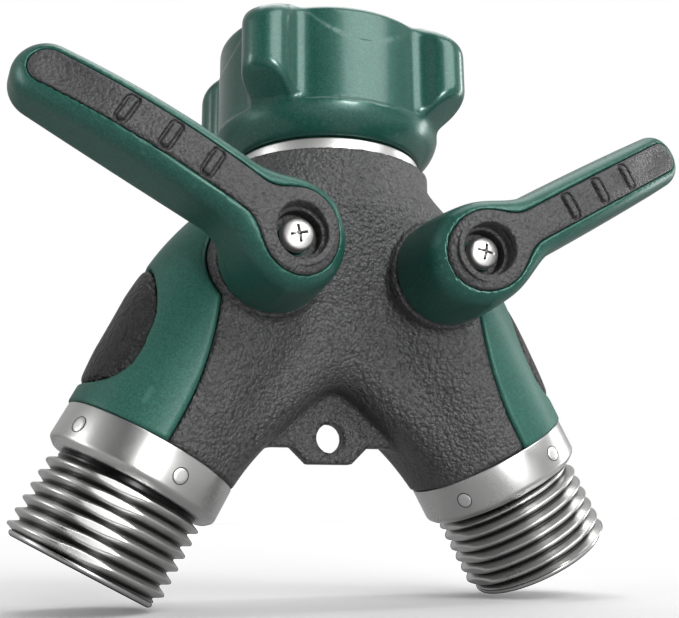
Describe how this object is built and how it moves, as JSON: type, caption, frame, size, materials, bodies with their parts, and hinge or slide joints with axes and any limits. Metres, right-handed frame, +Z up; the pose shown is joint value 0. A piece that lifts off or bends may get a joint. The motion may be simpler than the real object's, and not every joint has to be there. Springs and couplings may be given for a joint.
{
  "type": "hose splitter",
  "caption": "Forked garden hose splitter with a threaded swivel inlet nut, lever-operated ball valves in both legs and male threaded outlets.",
  "frame": {"origin": "centre of the open face of the swivel inlet nut, where a tap's thread enters", "axes": "+Z up along the inlet axis towards the tap, -Y out of the front where the levers are, +X to the right leg seen from the front"},
  "size_m": [0.1128, 0.0568, 0.1004],
  "materials": {
    "black_coat": "black crinkle powder coat",
    "green_paint": "dark green metallic paint, semi-gloss",
    "satin_aluminium": "satin turned",
    "soft_grip": "soft-touch, finely grained",
    "seal_rubber": "matt",
    "ptfe": "smooth white",
    "pin_steel": "fine ground",
    "screw_steel": "bright zinc plate",
    "ball_chrome": "polished"
  },
  "bodies": {
    "splitter_body": {"body_casting": "black_coat", "neck_ring": "satin_aluminium", "inlet_tailpiece": "satin_aluminium", "inlet_oring": "seal_rubber", "slip_washer": "ptfe", "inlet_washer": "seal_rubber", "left_side_grip": "green_paint", "left_grip_pad": "soft_grip", "left_outlet": "satin_aluminium", "left_outlet_pins": "pin_steel", "left_outlet_oring": "seal_rubber", "left_ball_seats": "ptfe", "left_stem_gland": "pin_steel", "right_side_grip": "green_paint", "right_grip_pad": "soft_grip", "right_outlet": "satin_aluminium", "right_outlet_pins": "pin_steel", "right_outlet_oring": "seal_rubber", "right_ball_seats": "ptfe", "right_stem_gland": "pin_steel"},
    "inlet_nut": {"swivel_nut": "green_paint"},
    "left_valve": {"left_ball": "ball_chrome", "left_stem": "pin_steel", "left_stem_orings": "seal_rubber", "left_lever": "green_paint", "left_lever_inlay": "soft_grip", "left_lever_screw": "screw_steel"},
    "right_valve": {"right_ball": "ball_chrome", "right_stem": "pin_steel", "right_stem_orings": "seal_rubber", "right_lever": "green_paint", "right_lever_inlay": "soft_grip", "right_lever_screw": "screw_steel"}
  },
  "joints": [
    {"name": "nut_swivel", "type": "hinge", "parent": "splitter_body", "child": "inlet_nut", "pos_m": [0, 0, -0.0116], "axis": [0, 0, 1], "continuous": true},
    {"name": "left_valve_turn", "type": "hinge", "parent": "splitter_body", "child": "left_valve", "pos_m": [-0.01536, 0, -0.04614], "axis": [0, -1, 0], "range_deg": [0, 90]},
    {"name": "right_valve_turn", "type": "hinge", "parent": "splitter_body", "child": "right_valve", "pos_m": [0.01536, 0, -0.04614], "axis": [0, 1, 0], "range_deg": [0, 90]}
  ]
}
